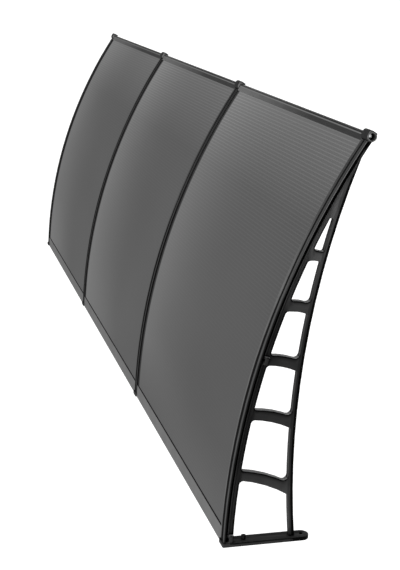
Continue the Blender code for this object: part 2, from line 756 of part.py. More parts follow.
def build_fasteners(material):
    stud, nut, screw = strip_stud_mesh(), strip_nut_mesh(), end_screw_mesh()
    for index in range(BAYS + 1):
        for out, where in zip(STUD_OUTS, ("wall", "mid")):
            place = roof_frame(roof_angle(out), SHEET_RADIUS, bracket_x(index))
            item = add_object(f"strip_stud_{where}_{index + 1}", stud, material, place)
            round_shading(item)
            add_object(f"strip_nut_{where}_{index + 1}", nut, material, place)
    y, z = roof_point(SCREW_ANGLE, SHEET_MID_RADIUS)
    seat = HALF_BRACKET - CUP_RECESS_DEPTH + FIT
    for index, side in ((0, -1), (BAYS, 1)):
        turn = Matrix.Rotation(side * math.pi / 2, 4, "Y")
        place = Matrix.Translation((bracket_x(index) + side * seat, y, z)) @ turn
        item = add_object(f"end_screw_{index + 1}", screw, material, place)
        round_shading(item)


clear_scene()
black_plastic = plain_material("black_plastic", (0.018, 0.018, 0.019), 0.42)
strip_plastic = plain_material("strip_plastic", (0.026, 0.026, 0.027), 0.38)
smoked_sheet = plain_material("smoked_sheet", (0.085, 0.086, 0.088), 0.22)
front_aluminium = plain_material("front_aluminium", (0.06, 0.06, 0.062), 0.36, 0.6)
wall_aluminium = plain_material("wall_aluminium", (0.11, 0.11, 0.112), 0.4, 0.6)
zinc = plain_material("zinc", (0.72, 0.72, 0.73), 0.28, 1.0)
build_brackets(black_plastic)
build_strips(strip_plastic)
build_bays(smoked_sheet, front_aluminium, wall_aluminium)
build_fasteners(zinc)
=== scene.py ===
import math

import bmesh
import bpy
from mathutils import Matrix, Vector


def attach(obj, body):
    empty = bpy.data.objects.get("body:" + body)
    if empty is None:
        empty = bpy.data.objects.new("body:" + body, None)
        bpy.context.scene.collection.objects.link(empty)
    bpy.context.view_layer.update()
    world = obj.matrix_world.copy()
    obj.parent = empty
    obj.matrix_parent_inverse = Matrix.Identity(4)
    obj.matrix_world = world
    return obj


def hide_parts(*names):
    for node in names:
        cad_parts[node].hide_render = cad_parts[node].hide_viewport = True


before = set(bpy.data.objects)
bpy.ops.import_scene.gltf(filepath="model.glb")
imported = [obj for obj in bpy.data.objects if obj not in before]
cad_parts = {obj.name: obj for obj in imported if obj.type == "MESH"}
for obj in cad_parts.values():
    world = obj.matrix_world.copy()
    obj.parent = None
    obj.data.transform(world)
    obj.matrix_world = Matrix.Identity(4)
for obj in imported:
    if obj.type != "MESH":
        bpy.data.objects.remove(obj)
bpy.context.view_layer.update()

# The CAD's own dimensions, in metres, that the finer pieces are set out from
BAYS = 3
BAY_PITCH = 0.998
FIT = 0.0003
SHEET_RADIUS = 1.787
ARC_BEHIND_WALL = 0.045
SHEET_THICKNESS = 0.0047
SHEET_MIDDLE_RADIUS = SHEET_RADIUS - SHEET_THICKNESS / 2
SHEET_START = 0.0106
SHEET_END_TO_SCREW = 0.007
SCREW_AXIS_OUT = 0.936
BRACKET_WIDTH = 0.036
RIB_WIDTH = 0.010
CUP_RADIUS = 0.013
WALL_RAIL_REACH = 0.037
FOOT_THICKNESS = 0.010
BEAM_TIP_HEIGHT = 0.0132
STRUT_RADIUS = 1.968
STRUT_LANDING_DOWN = 0.1665
STRUT_MEETS_TIP_OUT = 0.8895
ARC_CENTRE_Z = SHEET_THICKNESS / 2 - math.sqrt(SHEET_RADIUS**2 - ARC_BEHIND_WALL**2)
SCREW_ANGLE = math.asin((SCREW_AXIS_OUT + ARC_BEHIND_WALL) / SHEET_MIDDLE_RADIUS)

# Detail sizes in metres, with their counts, shares and degrees
FLUTE_PITCH = 0.0087
FLUTE_DEPTH = 0.00012
FLUTE_PROFILE = (1.0, 0.25, 0.0, 0.0, 0.0, 0.25)
SEAL_WIDTH = 0.0026
SEAL_HEIGHT = 0.0014
SEAL_ARC_STEP = 20
SEAL_STEPS = 24
SCREW_HEAD_RADIUS = 0.0054
SCREW_HEAD_HEIGHT = 0.003
SCREW_HEAD_RINGS = 14
SCREW_HEAD_FALL = 0.45
SCREW_HEAD_EDGE = ((0.98, 0.42), (1.0, 0.2), (0.97, 0.0))
SCREW_SHANK = 0.0024
SCREW_POINT = 0.4
SCREW_TURNS = 40
SCREW_CREASE = 35
CROSS_HALF_WIDTH = 0.0006
CROSS_REACH = 0.0022
CROSS_DEPTH = 0.0011
CROSS_RISE = 0.6
CROSS_WALL = 3
MERGE_DISTANCE = 0.000005

# The photograph's view
FOCAL_PX = 1226.0
IMAGE_HEIGHT_PX = 570
SENSOR = 36.0
CAMERA_PLACE = (-3.9492, -1.3061, 0.7206)
CAMERA_TURN = (-9.134, 75.569, -173.767)
CAMERA_REACH = 1000.0

# Ends and spans that most masks share
RISE = (0.0, 1.0)
FALL = (1.0, 0.0)
CLOUD_SPAN = (0.35, 0.65)
NOISE_SPAN = (0.3, 0.7)
WHITE = (1.0, 1.0, 1.0)


def roof_point(angle, radius):
    """(y, z) at this angle out from the roof arc's top, at this radius from its centre."""
    return (
        ARC_BEHIND_WALL - radius * math.sin(angle),
        ARC_CENTRE_Z + radius * math.cos(angle),
    )


SCREW_AXIS = roof_point(SCREW_ANGLE, SHEET_MIDDLE_RADIUS)


def strut_centre():
    """The centre of the strut's arc, which lands on the foot and meets the tip."""
    tip = SHEET_RADIUS - BEAM_TIP_HEIGHT
    meeting = Vector(roof_point(math.asin((STRUT_MEETS_TIP_OUT + ARC_BEHIND_WALL) / tip), tip))
    landing = Vector((-FOOT_THICKNESS, -STRUT_LANDING_DOWN))
    half = (landing - meeting) / 2
    below = Vector((half.y, -half.x)).normalized()
    return meeting + half + below * math.sqrt(STRUT_RADIUS**2 - half.length_squared)


def bay_middle(index):
    return (index - (BAYS - 1) / 2) * BAY_PITCH


# Node helpers

def new_material(name):
    material = bpy.data.materials.new(name)
    material.use_nodes = True
    tree = material.node_tree
    shader = next(n for n in tree.nodes if n.type == "BSDF_PRINCIPLED")
    return material, tree, shader


def add_node(tree, kind, inputs=None, **settings):
    node = tree.nodes.new(kind)
    for key, value in settings.items():
        setattr(node, key, value)
    for key, value in (inputs or {}).items():
        socket = node.inputs[key]
        if isinstance(value, bpy.types.NodeSocket):
            tree.links.new(value, socket)
        else:
            socket.default_value = value
    return node


def maths(tree, operation, *values, clamp=False):
    """The values taken together in turn by one operation."""
    result = values[0]
    for value in values[1:] or (0.0,):
        inputs = {0: result, 1: value}
        node = add_node(tree, "ShaderNodeMath", inputs, operation=operation, use_clamp=clamp)
        result = node.outputs[0]
    return result


def total(tree, *values, clamp=False):
    return maths(tree, "ADD", *values, clamp=clamp)


def less(tree, value, taken, clamp=False):
    return maths(tree, "SUBTRACT", value, taken, clamp=clamp)


def product(tree, *values):
    return maths(tree, "MULTIPLY", *values)


def magnitude(tree, value):
    return maths(tree, "ABSOLUTE", value)


def spread(tree, value, span, ends=RISE):
    """The value carried from its span to the ends, and held at them outside it."""
    inputs = {"Value": value, 1: span[0], 2: span[1], 3: ends[0], 4: ends[1]}
    return add_node(tree, "ShaderNodeMapRange", inputs).outputs["Result"]


def parts(tree, vector):
    return add_node(tree, "ShaderNodeSeparateXYZ", {0: vector}).outputs


def dot(tree, first, second):
    inputs = {0: first, 1: second}
    return add_node(tree, "ShaderNodeVectorMath", inputs, operation="DOT_PRODUCT").outputs["Value"]


def scaled(tree, colour, factor):
    inputs = {0: colour, "Scale": factor}
    return add_node(tree, "ShaderNodeVectorMath", inputs, operation="SCALE").outputs[0]


def mixed(tree, factor, first, second):
    inputs = {0: factor, 6: first, 7: second}
    return add_node(tree, "ShaderNodeMix", inputs, data_type="RGBA").outputs[2]


def grey(level, tint=WHITE):
    return (level * tint[0], level * tint[1], level * tint[2], 1.0)


def tones(tree, cloud, span, level, ends, tint=WHITE):
    """A grey that drifts with the cloud between two shares of its level."""
    low, high = (grey(level * end, tint) for end in ends)
    return mixed(tree, spread(tree, cloud, span), low, high)


def position(tree):
    return add_node(tree, "ShaderNodeTexCoord").outputs["Object"]


def flat_normal(tree):
    return add_node(tree, "ShaderNodeNewGeometry").outputs["True Normal"]


def noise(tree, where, scale, detail=3.0, roughness=0.55):
    inputs = {"Vector": where, "Scale": scale, "Detail": detail, "Roughness": roughness}
    return add_node(tree, "ShaderNodeTexNoise", inputs).outputs["Fac"]


def stretched(tree, where, factors):
    node = add_node(tree, "ShaderNodeMapping", {"Vector": where, "Scale": factors})
    return node.outputs["Vector"]


def rounded_normal(tree, radius, samples=4):
    return add_node(tree, "ShaderNodeBevel", {"Radius": radius}, samples=samples).outputs[0]


def relief(tree, shader, height, distance, strength, normal=None):
    """Fine relief on the shader, over edges that look rounded where a normal is given."""
    inputs = {"Height": height, "Distance": distance, "Strength": strength}
    if normal is not None:
        inputs["Normal"] = normal
    bump = add_node(tree, "ShaderNodeBump", inputs)
    tree.links.new(bump.outputs[0], shader.inputs["Normal"])


# Masks by place and shape

CREVICE_SPAN = (0.35, 0.92)
SIDE_FACE_SPAN = (0.45, 0.75)
EDGE_ROUNDING = 0.0055
EDGE_LEAN = (0.05, 0.30)


def edge_mask(tree, radius):
    """Near 1 on a sharp edge, 0 on a flat face."""
    normal = add_node(tree, "ShaderNodeNewGeometry").outputs["Normal"]
    return less(tree, 1.0, dot(tree, rounded_normal(tree, radius), normal), clamp=True)


def rubbed(tree, where, radius, edge_span, scale, span, most):
    """Up to `most` on sharp edges, in patches, 0 elsewhere."""
    patches = spread(tree, noise(tree, where, scale), span, (0.0, most))
    return product(tree, spread(tree, edge_mask(tree, radius), edge_span), patches)


def painted_crevice_shade(tree, reach, darkest):
    """Painted shade: near `darkest` deep in a corner or slot, 1 in the open."""
    node = add_node(tree, "ShaderNodeAmbientOcclusion", {"Distance": reach}, samples=6)
    return spread(tree, node.outputs["AO"], CREVICE_SPAN, (darkest, 1.0))


def bay_turns(tree, where, offset=0.0):
    """x counted in bays from the low end of the first one."""
    return total(tree, maths(tree, "DIVIDE", parts(tree, where)[0], BAY_PITCH), BAYS / 2 + offset)


def beside_bracket_line(tree, where):
    """How far x lies beyond the nearest bracket's middle; below 0 on its near side."""
    apart = less(tree, maths(tree, "FRACT", bay_turns(tree, where, 0.5)), 0.5)
    return product(tree, apart, BAY_PITCH)


def distance_to(tree, where, centre):
    """Distance from an axis along x, given as (y, z)."""
    _, y, z = parts(tree, where)
    y, z = less(tree, y, centre[0]), less(tree, z, centre[1])
    return maths(tree, "SQRT", total(tree, product(tree, y, y), product(tree, z, z)))


def side_face(tree):
    """1 on faces turned along x and on their rounded edges, 0 elsewhere."""
    return spread(tree, magnitude(tree, parts(tree, flat_normal(tree))[0]), SIDE_FACE_SPAN)


def shaded_edge_mask(tree, gain):
    """1 along the lower and outer edges of the side faces, which get painted shade, 0 elsewhere;
    gain widens it.
    """
    _, y, z = parts(tree, rounded_normal(tree, EDGE_ROUNDING, samples=8))
    lean = maths(tree, "MAXIMUM", product(tree, y, -1.0), product(tree, z, -1.0))
    return product(tree, side_face(tree), spread(tree, product(tree, lean, gain), EDGE_LEAN))


# The bracket's painted light and shade

TIP_OUT = (-0.90, -0.88)
BEAM_DEPTH = (0.024, 0.034)
BEAM_OUT = (-0.72, -0.66)
BEAM_EDGE_GAIN = 1.6
EDGE_DEPTH = (0.0095, 0.0120)
EDGE_OUT = (-0.87, -0.83)
EDGE_TIP_SHARE = 0.2
EDGE_SHADE = 0.04

BAND_DEPTH = (0.0076, 0.0084)
BAND_OUT = (-0.78, -0.60)
BAND_NARROWS = 0.0024
BAND_SHADE = 0.03
BAND_END_OUT = (-0.0140, -0.0110)

STRUT_EDGE = (0.0064, 0.0080)
STRUT_EDGE_SHADE = 0.03
STRUT_SHADE = 0.65
STRUT_TOP = (0.013, 0.0145)
STRUT_TIP_OUT = (-0.870, -0.845)
STRUT_TIP_NARROWS = 0.0035

OUTWARD_NORMAL = (-0.9, -0.6)
OUTWARD_GAIN = 8.0
UPWARD_NORMAL = (0.6, 0.9)
UPWARD_GAIN = 0.8
OFF_FOOT_OUT = (-0.03, -0.02)

FRONT_OUT = (-0.78, -0.5)
FRONT_GAIN = 3.4
NEAR_WALL_OUT = (-0.20, -0.12)
NEAR_WALL_GAIN = 0.7
AT_FOOT_OUT = (-0.034, -0.026)
AT_FOOT_LOSS = 0.5
LINE_DEPTH = 0.0100
LINE_HALF_WIDTH = (0.0010, 0.0018)
LINE_OUT = (-0.80, -0.6)
LINE_GAINS = (6.0, 0.3)

HOOD_OUT = (-0.92, -0.90)
HOOD_SHADE = 0.6

PLATE_OUT = (-0.0125, -0.0110)
PLATE_NORMAL = (-0.8, -0.4)
PLATE_FAR_SIDE = (0.001, 0.005)
PLATE_LOSS = 0.97

RIM_MIDDLE = 0.0092
RIM_HALF_WIDTH = (0.00054, 0.0009)
RIM_HIGHLIGHT = 0.8
RIM_HIGHLIGHT_GREY = 0.3


def edge_shade(tree, depth, out):
    """Painted shade along the lower and outer edges: wider on the beam, faint at the tip."""
    on_beam = product(tree, spread(tree, depth, BEAM_DEPTH, FALL), spread(tree, out, BEAM_OUT))
    edges = shaded_edge_mask(tree, spread(tree, on_beam, RISE, (1.0, BEAM_EDGE_GAIN)))
    edges = product(tree, edges, spread(tree, depth, EDGE_DEPTH))
    edges = product(tree, edges, spread(tree, out, EDGE_OUT, (EDGE_TIP_SHARE, 1.0)))
    return spread(tree, edges, RISE, (1.0, EDGE_SHADE))


def under_strip_shade(tree, depth, out):
    """A painted shadow under the strip: a black band, wider towards the tip, none on the cup or the
    foot.
    """
    band = total(tree, depth, spread(tree, out, BAND_OUT, (0.0, BAND_NARROWS)))
    band = spread(tree, band, BAND_DEPTH, (BAND_SHADE, 1.0))
    on_cup = spread(tree, out, TIP_OUT, FALL)
    return maths(tree, "MAXIMUM", band, on_cup, spread(tree, out, BAND_END_OUT))


def strut_shade(tree, above, out, side):
    """Painted shade: black along the strut's lower side and dark up to its top, narrower behind the
    tip.
    """
    above = total(tree, above, spread(tree, out, STRUT_TIP_OUT, (STRUT_TIP_NARROWS, 0.0)))
    edge = spread(tree, above, STRUT_EDGE, (STRUT_EDGE_SHADE, STRUT_SHADE))
    top = spread(tree, above, STRUT_TOP, (0.0, 1.0 - STRUT_SHADE))
    return total(tree, edge, top, less(tree, 1.0, side), clamp=True)


def outward_painted_light(tree, out):
    """Painted light: how much paler the faces turned outwards or upwards are, between the foot and
    the cup.
    """
    _, facing, rising = parts(tree, flat_normal(tree))
    gain = total(tree, spread(tree, facing, OUTWARD_NORMAL, (OUTWARD_GAIN, 0.0)),
                 spread(tree, rising, UPWARD_NORMAL, (0.0, UPWARD_GAIN)))
    return product(tree, gain, spread(tree, out, OFF_FOOT_OUT, FALL), spread(tree, out, TIP_OUT))


def side_painted_light(tree, depth, out, side):
    """Painted light on the side faces: paler in front, near the wall and in a line under the band.
    """
    gain = total(tree, spread(tree, out, FRONT_OUT, (FRONT_GAIN, 0.0)),
                 spread(tree, out, NEAR_WALL_OUT, (0.0, NEAR_WALL_GAIN)))
    gain = less(tree, gain, spread(tree, out, AT_FOOT_OUT, (0.0, AT_FOOT_LOSS)))
    line = spread(tree, magnitude(tree, less(tree, depth, LINE_DEPTH)), LINE_HALF_WIDTH, FALL)
    line = product(tree, line, spread(tree, out, LINE_OUT, LINE_GAINS))
    return product(tree, total(tree, gain, line), side)


def bracket_shade(tree, where, out):
    """The factor on a bracket's colour, from all its painted light and shade.

    `out` is y, from the wall at 0 to the tip at -0.95. `depth` runs down from the sheet's top
    face and `above` runs up from the strut's lower side. All are in metres.
    """
    depth = less(tree, SHEET_RADIUS, distance_to(tree, where, (ARC_BEHIND_WALL, ARC_CENTRE_Z)))
    above = less(tree, distance_to(tree, where, strut_centre()), STRUT_RADIUS)
    side = side_face(tree)
    shade = product(tree, edge_shade(tree, depth, out), under_strip_shade(tree, depth, out),
                    strut_shade(tree, above, out, side))
    # Painted shade on the cup's hood, on all but the faces turned along x
    painted_hood_shade = total(tree, spread(tree, out, HOOD_OUT, (HOOD_SHADE, 1.0)), side, clamp=True)
    gain = total(tree, outward_painted_light(tree, out), side_painted_light(tree, depth, out, side), 1.0)
    return product(tree, shade, painted_hood_shade, gain)


def foot_shade(tree, where, out):
    """The factor on the outward face of a wall plate: painted shade on its far side, 1 elsewhere.
    """
    facing = parts(tree, flat_normal(tree))[1]
    on_plate = product(tree, spread(tree, out, PLATE_OUT), spread(tree, facing, PLATE_NORMAL, FALL))
    lost = spread(tree, beside_bracket_line(tree, where), PLATE_FAR_SIDE, (0.0, PLATE_LOSS))
    return less(tree, 1.0, product(tree, on_plate, lost))


def mouth_highlight(tree, where):
    """The share of painted highlight, a paler grey, on the rim of the screw cups' mouths, 0
    elsewhere.
    """
    off = magnitude(tree, less(tree, distance_to(tree, where, SCREW_AXIS), RIM_MIDDLE))
    return product(tree, spread(tree, off, RIM_HALF_WIDTH, FALL), RIM_HIGHLIGHT)


def bracket_painted_light(tree, where, base, rough):
    out = parts(tree, where)[1]
    base = scaled(tree, base, bracket_shade(tree, where, out))
    base = scaled(tree, base, foot_shade(tree, where, out))
    return mixed(tree, mouth_highlight(tree, where), base, grey(RIM_HIGHLIGHT_GREY)), rough


# The strip's painted light and shade, placed across it in metres beyond the bracket's middle

GROOVE_NEAR = (-0.0035, -0.0025)
GROOVE_FAR = (0.0035, 0.0055)
GROOVE_OUT = (-0.60, -0.42)
GROOVE_WIDENS = 0.0045
PAST_FIRST = (0.4, 0.6)
PAST_FIRST_SHADE = 0.62
NEAR_SIDE = (-0.0165, -0.0125)
NEAR_SIDE_WIDENS = 0.003
DULL_SHADE = 0.05
DULL_ROUGHER = 0.35
MARGIN = (0.0045, 0.0060)
MARGIN_GAINS = (2.8, 1.3)
MARGIN_OUT = (-0.85, -0.6)
MARGIN_SHARE = 0.75
ARRIS = (0.0152, 0.0160)
ARRIS_OUT = (-0.8, -0.55)
ARRIS_HIGHLIGHT = 0.9
ARRIS_PAST_FIRST = 0.3
ARRIS_GREY = 0.13


def strip_painted_light(tree, where, base, rough):
    """Painted shade: dull groove, near side, strips past the first. Painted highlight: far margin,
    arrises.
    """
    out = parts(tree, where)[1]
    side = side_face(tree)
    beyond = beside_bracket_line(tree, where)
    past_first = spread(tree, bay_turns(tree, where), PAST_FIRST)

    margin = less(tree, beyond, spread(tree, out, GROOVE_OUT, (0.0, GROOVE_WIDENS)))
    groove = product(tree, spread(tree, beyond, GROOVE_NEAR),
                     spread(tree, margin, GROOVE_FAR, FALL))
    near_side = less(tree, beyond, product(tree, past_first, NEAR_SIDE_WIDENS))
    dull_and_shaded = total(tree, groove, spread(tree, near_side, NEAR_SIDE, FALL), side, clamp=True)
    base = scaled(tree, base, spread(tree, dull_and_shaded, RISE, (1.0, DULL_SHADE)))
    rough = total(tree, rough, product(tree, dull_and_shaded, DULL_ROUGHER))

    paler = spread(tree, margin, MARGIN, (1.0, spread(tree, past_first, RISE, MARGIN_GAINS)))
    paler = product(tree, paler, spread(tree, out, MARGIN_OUT, (0.0, MARGIN_SHARE)))
    base = scaled(tree, base, total(tree, paler, 1.0))
    base = scaled(tree, base, spread(tree, past_first, RISE, (1.0, PAST_FIRST_SHADE)))

    arris = product(tree, spread(tree, magnitude(tree, beyond), ARRIS),
                    spread(tree, out, ARRIS_OUT, (ARRIS_HIGHLIGHT, 0.0)), less(tree, 1.0, side),
                    spread(tree, past_first, RISE, (1.0, ARRIS_PAST_FIRST)))
    return mixed(tree, arris, base, grey(ARRIS_GREY)), rough


# Materials

PLASTIC_CLOUD = 22.0
PLASTIC_SPECK = 900.0
PLASTIC_TONES = (0.86, 1.14)
PLASTIC_RUB = dict(radius=0.0009, edge_span=(0.02, 0.30), scale=60.0, span=(0.42, 0.62), most=0.8)
PLASTIC_CREVICE_SHADE = 0.12
PLASTIC_DRIFT = 0.04
PLASTIC_SPECKLE = (-0.03, 0.03)
PLASTIC_RELIEF = 0.6
PLASTIC_EDGE = 0.0006

METAL_LINES = (2.0, 900.0, 900.0)
METAL_CLOUD = 14.0
METAL_TONES = (0.92, 1.08)
METAL_RUB = dict(radius=0.0006, edge_span=(0.03, 0.30), scale=70.0, span=(0.45, 0.65), most=0.6)
METAL_WORN = 2.2
METAL_WORN_MOST = 0.8
METAL_DRIFT = 0.06
METAL_LINE_DEPTH = 0.00003
METAL_RELIEF = 0.5
METAL_EDGE = 0.0004


def plastic(name, level, roughness, specular, grain=0.00004, worn=2.2, corner=0.016, painted_light=None):
    """Moulded plastic: rubbed edges, painted shade in corners and fine grain, with a piece's own
    painted light and shade.
    """
    material, tree, shader = new_material(name)
    where = position(tree)
    cloud = noise(tree, where, PLASTIC_CLOUD)
    speck = noise(tree, where, PLASTIC_SPECK, detail=2.0)
    base = tones(tree, cloud, CLOUD_SPAN, level, PLASTIC_TONES)
    base = mixed(tree, rubbed(tree, where, **PLASTIC_RUB), base, grey(level * worn))
    base = scaled(tree, base, painted_crevice_shade(tree, corner, PLASTIC_CREVICE_SHADE))
    drift = (roughness - PLASTIC_DRIFT, roughness + PLASTIC_DRIFT)
    rough = total(tree, spread(tree, cloud, NOISE_SPAN, drift),
                  spread(tree, speck, NOISE_SPAN, PLASTIC_SPECKLE))
    if painted_light:
        base, rough = painted_light(tree, where, base, rough)
    tree.links.new(base, shader.inputs["Base Color"])
    tree.links.new(rough, shader.inputs["Roughness"])
    shader.inputs["Specular IOR Level"].default_value = specular
    relief(tree, shader, speck, grain, PLASTIC_RELIEF, rounded_normal(tree, PLASTIC_EDGE))
    return material


# The front rail's painted light: a painted sheen, paler along each bay, and a painted highlight on
# its tube's crest
RAIL_PALER_ALONG = (0.35, 1.0)
CREST_INWARDS = 0.0030
CREST_HALF_WIDTH = (0.0009, 0.0018)
CREST_HIGHLIGHT = 0.9
CREST_GAIN = 6.5
BEYOND_CREST = (-0.002, -0.001)
BEYOND_SHADE = 0.3


def rail_painted_light(tree, where, base, level, far_painted_sheen, tint):
    along = maths(tree, "FRACT", bay_turns(tree, where))
    base = scaled(tree, base, spread(tree, along, RAIL_PALER_ALONG, (1.0, 1.0 + far_painted_sheen)))
    inwards = (0.0, math.cos(SCREW_ANGLE), math.sin(SCREW_ANGLE))
    middle = SCREW_AXIS[0] * inwards[1] + SCREW_AXIS[1] * inwards[2] + CREST_INWARDS
    past = less(tree, dot(tree, where, inwards), middle)
    # A painted highlight along the tube's crest, and painted shade beyond it
    crest = spread(tree, magnitude(tree, past), CREST_HALF_WIDTH, (CREST_HIGHLIGHT, 0.0))
    base = mixed(tree, crest, base, grey(level * CREST_GAIN, tint))
    beyond = spread(tree, past, BEYOND_CREST, FALL)
    return scaled(tree, base, spread(tree, beyond, RISE, (1.0, BEYOND_SHADE)))


def coated_metal(name, level, roughness, metallic, specular=0.5, tint=WHITE, far_painted_sheen=0.0):
    """Powder-coated or plated metal: faint draw lines along x and fine grain, and, given a far
    sheen, the front rail's painted light.
    """
    material, tree, shader = new_material(name)
    where = position(tree)
    lines = noise(tree, stretched(tree, where, METAL_LINES), 1.0, detail=2.0)
    base = tones(tree, noise(tree, where, METAL_CLOUD), CLOUD_SPAN, level, METAL_TONES, tint)
    worn = grey(min(level * METAL_WORN, METAL_WORN_MOST), tint)
    base = mixed(tree, rubbed(tree, where, **METAL_RUB), base, worn)
    if far_painted_sheen:
        base = rail_painted_light(tree, where, base, level, far_painted_sheen, tint)
    tree.links.new(base, shader.inputs["Base Color"])
    rough = spread(tree, lines, NOISE_SPAN, (roughness - METAL_DRIFT, roughness + METAL_DRIFT))
    tree.links.new(rough, shader.inputs["Roughness"])
    shader.inputs["Metallic"].default_value = metallic
    shader.inputs["Specular IOR Level"].default_value = specular
    edges = rounded_normal(tree, METAL_EDGE)
    relief(tree, shader, lines, METAL_LINE_DEPTH, METAL_RELIEF, edges)
    return material


# The sheet's tones, painted sheen and painted shadow

SHEET_CLOUD = (1.1, 2.2, 2.2)
SHEET_TONES = (0.92, 1.08)
SHEET_ROUGHNESS = (0.37, 0.31)
SHEET_SPECULAR = 0.4
SHEET_GRAIN = 1400.0
SHEET_GRAIN_DEPTH = 0.00001
SHEET_RELIEF = 0.3
WEB_PHASE = (0.30, 0.5)
WEB_ACROSS = (30.0, 100.0)
WEB_STRENGTH = (0.05, 1.0)
WEB_GAIN = 1.55
FAR_ALONG = (-0.15, 0.5)
FAR_POWER_ACROSS = (6.0, 30.0)
FAR_POWERS = (1.1, 2.0)
FAR_GAIN = 1.7
FAR_GAIN_FIRST = 1.15
FAR_NEAR_WALL = 0.2
FIRST_BAY = (0.99, 1.01)
WALL_ACROSS = (4.0, 22.0)
WALL_PATCH_ALONG = (-0.3, 0.2)
WALL_PATCH_GAIN = 0.32
TIP_ACROSS = (86.0, 112.0)
TIP_GAIN = 0.85
FAR_CONTACT = (0.021, 0.012)
FAR_CONTACT_SHADE = 0.04
NEAR_CONTACT = 0.002
NEAR_CONTACT_SHADE = 0.2
CONTACT_ROUGHER = 0.4


def sheet_painted_sheen(tree, where, along, across):
    """Painted sheen: how much paler the sheet is, towards each bay's far side and towards the
    front.

    `along` is x from the bay's middle in metres, and `across` counts the flutes, from 0 near
    the wall to about 112 at the front. In the first bay the far sheen is weaker near the wall,
    where a patch of painted sheen lies on the near side.
    """
    first = spread(tree, bay_turns(tree, where), FIRST_BAY, FALL)
    near_wall = product(tree, first, spread(tree, across, WALL_ACROSS, FALL))
    most = product(tree, spread(tree, first, RISE, (FAR_GAIN, FAR_GAIN_FIRST)),
                   spread(tree, near_wall, RISE, (1.0, FAR_NEAR_WALL)))
    power = spread(tree, across, FAR_POWER_ACROSS, FAR_POWERS)
    far = product(tree, maths(tree, "POWER", spread(tree, along, FAR_ALONG), power), most)
    patch = product(tree, near_wall, spread(tree, along, WALL_PATCH_ALONG, (WALL_PATCH_GAIN, 0.0)))
    return total(tree, far, patch, spread(tree, across, TIP_ACROSS, (0.0, TIP_GAIN)))


def contact_shade(tree, along):
    """Painted shadow on the sheet beside each strip, 1 elsewhere."""
    edge = (BAY_PITCH - BRACKET_WIDTH) / 2
    far_span = [edge - inset for inset in FAR_CONTACT]
    return product(tree, spread(tree, along, far_span, (1.0, FAR_CONTACT_SHADE)),
                   spread(tree, along, (-edge, NEAR_CONTACT - edge), (NEAR_CONTACT_SHADE, 1.0)))


def smoked_sheet(name, level):
    """Twin-wall plastic: its webs show through as fine lines, made clearest towards the front as
    painted sheen.
    """
    material, tree, shader = new_material(name)
    where = position(tree)
    along, across, _ = parts(tree, add_node(tree, "ShaderNodeUVMap", uv_map="flutes").outputs["UV"])
    phase = magnitude(tree, less(tree, maths(tree, "FRACT", across), 0.5))
    web = product(tree, spread(tree, phase, WEB_PHASE),
                  spread(tree, across, WEB_ACROSS, WEB_STRENGTH))
    cloud = noise(tree, stretched(tree, where, SHEET_CLOUD), 1.0, detail=1.5)
    base = tones(tree, cloud, NOISE_SPAN, level, SHEET_TONES)
    base = mixed(tree, web, base, grey(level * WEB_GAIN))
    base = scaled(tree, base, total(tree, sheet_painted_sheen(tree, where, along, across), 1.0))
    contact = contact_shade(tree, along)
    base = scaled(tree, base, contact)
    rough = total(tree, spread(tree, cloud, NOISE_SPAN, SHEET_ROUGHNESS),
                  spread(tree, contact, RISE, (CONTACT_ROUGHER, 0.0)))
    tree.links.new(base, shader.inputs["Base Color"])
    tree.links.new(rough, shader.inputs["Roughness"])
    shader.inputs["Specular IOR Level"].default_value = SHEET_SPECULAR
    grain = noise(tree, where, SHEET_GRAIN, detail=1.0)
    relief(tree, shader, grain, SHEET_GRAIN_DEPTH, SHEET_RELIEF)
    return material


def smoothing_nodes(degrees):
    """A modifier that joins a CAD node's triangles and shades its curves smooth."""
    group = bpy.data.node_groups.new("smooth_curves", "GeometryNodeTree")
    for way in ("INPUT", "OUTPUT"):
        group.interface.new_socket("Geometry", in_out=way, socket_type="NodeSocketGeometry")
    start = group.nodes.new("NodeGroupInput")
    end = group.nodes.new("NodeGroupOutput")
    inputs = {"Geometry": start.outputs[0], "Name": "custom_normal"}
    forget = add_node(group, "GeometryNodeRemoveAttribute", inputs)
    inputs = {"Geometry": forget.outputs[0], "Distance": MERGE_DISTANCE}
    merge = add_node(group, "GeometryNodeMergeByDistance", inputs)
    inputs = {"Geometry": merge.outputs[0], "Shade Smooth": True}
    smooth = add_node(group, "GeometryNodeSetShadeSmooth", inputs)
    angle = add_node(group, "GeometryNodeInputMeshEdgeAngle")
    inputs = {0: angle.outputs[0], 1: math.radians(degrees)}
    sharp = add_node(group, "FunctionNodeCompare", inputs,
                     data_type="FLOAT", operation="GREATER_THAN")
    inputs = {"Geometry": smooth.outputs[0], "Selection": sharp.outputs[0], "Shade Smooth": False}
    crease = add_node(group, "GeometryNodeSetShadeSmooth", inputs, domain="EDGE")
    group.links.new(crease.outputs[0], end.inputs[0])
    return group


# Pieces

def linked(name, bm):
    mesh = bpy.data.meshes.new(name)
    bm.to_mesh(mesh)
    bm.free()
    item = bpy.data.objects.new(name, mesh)
    bpy.context.scene.collection.objects.link(item)
    return item


def finished(name, bm):
    """The mesh made into an object, smooth but for its two ends along x."""
    bmesh.ops.recalc_face_normals(bm, faces=bm.faces)
    for f in bm.faces:
        f.smooth = abs(f.normal.x) < 0.5
    return linked(name, bm)


